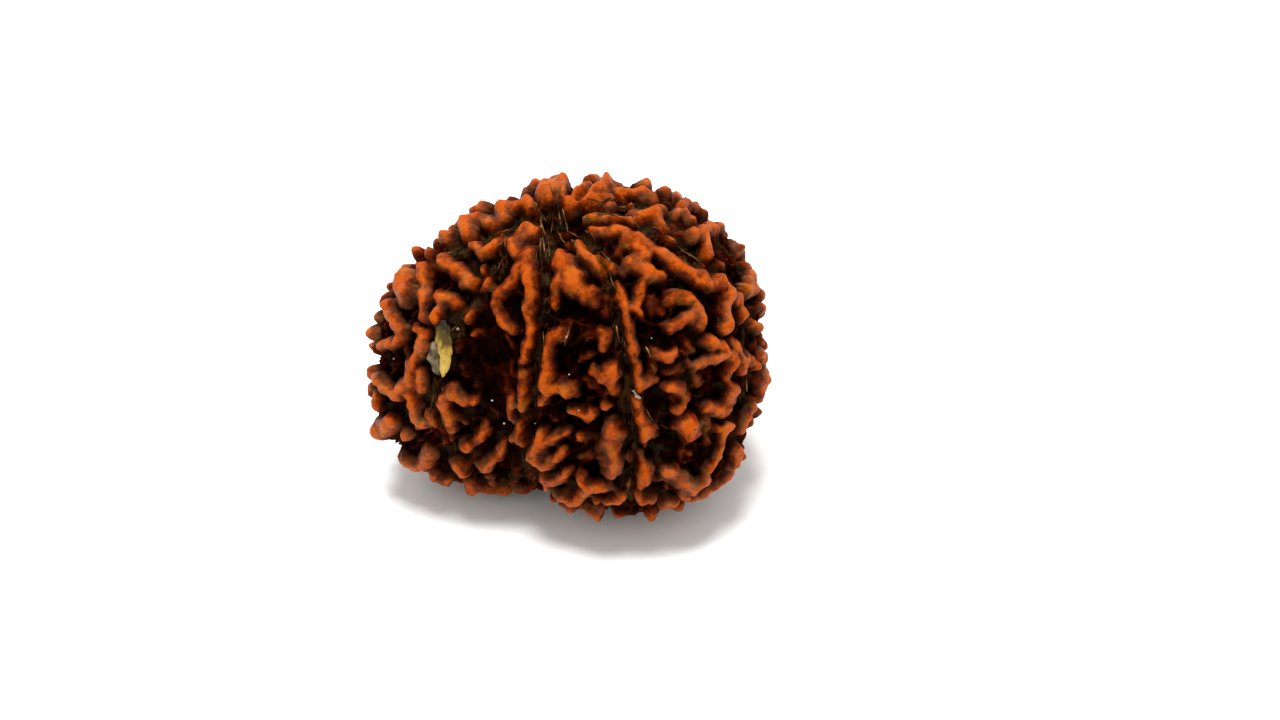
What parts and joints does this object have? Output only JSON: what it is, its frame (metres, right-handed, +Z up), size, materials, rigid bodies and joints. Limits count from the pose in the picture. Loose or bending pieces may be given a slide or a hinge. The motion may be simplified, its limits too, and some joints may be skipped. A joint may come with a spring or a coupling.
{
  "type": "gauri shankar rudraksha",
  "caption": "Natural rudraksha stone of two beads grown together side by side, covered in rope-like ridges, with seams from pole to pole, resting on low worn knobs.",
  "frame": {"origin": "on the surface that the stone rests on, under the middle of its bounding box", "axes": "+Z up, along the beads' poles; +X along the length, from the small bead to the large one; -Y towards the face with the front seam"},
  "size_m": [0.0302, 0.0223, 0.0247],
  "materials": {
    "stone": "dry to faintly waxy seed stone: burnt orange-brown crests, maroon flanks, near black hollows"
  },
  "bodies": {
    "root": {"joined_beads": "stone"}
  },
  "joints": []
}
